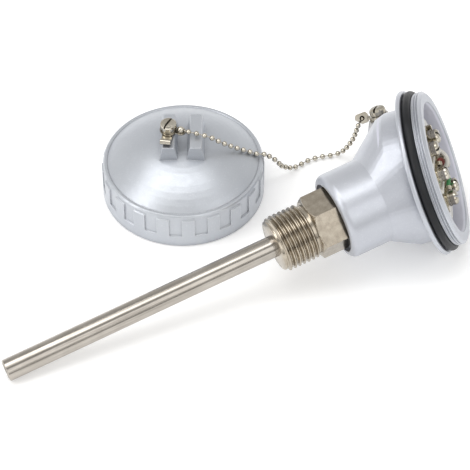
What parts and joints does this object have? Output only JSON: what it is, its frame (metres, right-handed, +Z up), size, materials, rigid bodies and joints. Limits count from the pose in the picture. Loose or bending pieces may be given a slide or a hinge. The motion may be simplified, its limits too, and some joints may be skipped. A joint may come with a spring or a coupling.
{
  "type": "resistance temperature probe",
  "caption": "Temperature probe with a threaded fitting and a cast round connection head, its screw cap off and lying beside it on a bead chain.",
  "frame": {"origin": "centre of the overall box on the floor", "axes": "+X along the stem from the tip towards the head as it lies, +Z up"},
  "size_m": [0.1869, 0.1156, 0.0576],
  "materials": {
    "cast_aluminium": "satin silver paint over the casting",
    "stainless": "turned and polished stainless steel",
    "nickel_screws": "nickel-plated, bright",
    "nickel_chain": "nickel-plated brass, bright",
    "terminal_brass": "nickel-plated brass",
    "seal_rubber": "black, satin",
    "ceramic_white": "glazed white porcelain",
    "wire_red": "insulation",
    "wire_green": "insulation",
    "wire_white": "insulation"
  },
  "bodies": {
    "probe": {"protection_tube": "stainless", "tip_plug": "stainless", "sensor_element": "ceramic_white", "lead_insulator": "ceramic_white", "sensor_leads": "nickel_screws", "process_fitting": "stainless", "head_housing": "cast_aluminium", "cap_seal_ring": "seal_rubber", "terminal_block": "ceramic_white", "terminal_plates": "terminal_brass", "clamp_washers": "nickel_screws", "spring_washers": "nickel_screws", "wire_lugs": "terminal_brass", "block_screws": "nickel_screws", "lead_wire_green": "wire_green", "lead_wire_red": "wire_red", "lead_wire_white": "wire_white", "gland_washer": "nickel_screws", "gland_seal": "seal_rubber", "head_chain_screw": "nickel_screws", "head_chain_washers": "nickel_screws", "head_chain_tag": "nickel_screws", "chain_beads": "nickel_chain", "chain_links": "nickel_chain", "cap_chain_tag": "nickel_screws"},
    "cap": {"screw_cap": "cast_aluminium", "cap_chain_screw": "nickel_screws", "cap_chain_washers": "nickel_screws"},
    "gland": {"gland_nut": "stainless"},
    "screw_1": {"terminal_screw_1": "nickel_screws"},
    "screw_2": {"terminal_screw_2": "nickel_screws"},
    "screw_3": {"terminal_screw_3": "nickel_screws"},
    "screw_4": {"terminal_screw_4": "nickel_screws"},
    "screw_5": {"terminal_screw_5": "nickel_screws"},
    "screw_6": {"terminal_screw_6": "nickel_screws"}
  },
  "joints": [
    {"name": "cap_swivel", "type": "hinge", "parent": "probe", "child": "cap", "pos_m": [-0.00403, 0.0295, 0.0295], "axis": [0, 0, 1], "range_deg": [-20, 20]},
    {"name": "gland_turn", "type": "hinge", "parent": "probe", "child": "gland", "pos_m": [0.0756, 0.00093, 0.01007], "axis": [0.0845, 0.8435, -0.5305], "range_deg": [0, 1080]},
    {"name": "terminal_screw_1_turn", "type": "hinge", "parent": "probe", "child": "screw_1", "pos_m": [0.07764, -0.02328, 0.03939], "axis": [0.837, -0.3895, 0.3844], "range_deg": [0, 1440]},
    {"name": "terminal_screw_2_turn", "type": "hinge", "parent": "probe", "child": "screw_2", "pos_m": [0.07987, -0.02774, 0.03004], "axis": [0.837, -0.3895, 0.3844], "range_deg": [0, 1440]},
    {"name": "terminal_screw_3_turn", "type": "hinge", "parent": "probe", "child": "screw_3", "pos_m": [0.08209, -0.0322, 0.02068], "axis": [0.837, -0.3895, 0.3844], "range_deg": [0, 1440]},
    {"name": "terminal_screw_4_turn", "type": "hinge", "parent": "probe", "child": "screw_4", "pos_m": [0.07309, -0.03065, 0.04183], "axis": [0.837, -0.3895, 0.3844], "range_deg": [0, 1440]},
    {"name": "terminal_screw_5_turn", "type": "hinge", "parent": "probe", "child": "screw_5", "pos_m": [0.07532, -0.03511, 0.03247], "axis": [0.837, -0.3895, 0.3844], "range_deg": [0, 1440]},
    {"name": "terminal_screw_6_turn", "type": "hinge", "parent": "probe", "child": "screw_6", "pos_m": [0.07754, -0.03957, 0.02312], "axis": [0.837, -0.3895, 0.3844], "range_deg": [0, 1440]}
  ]
}
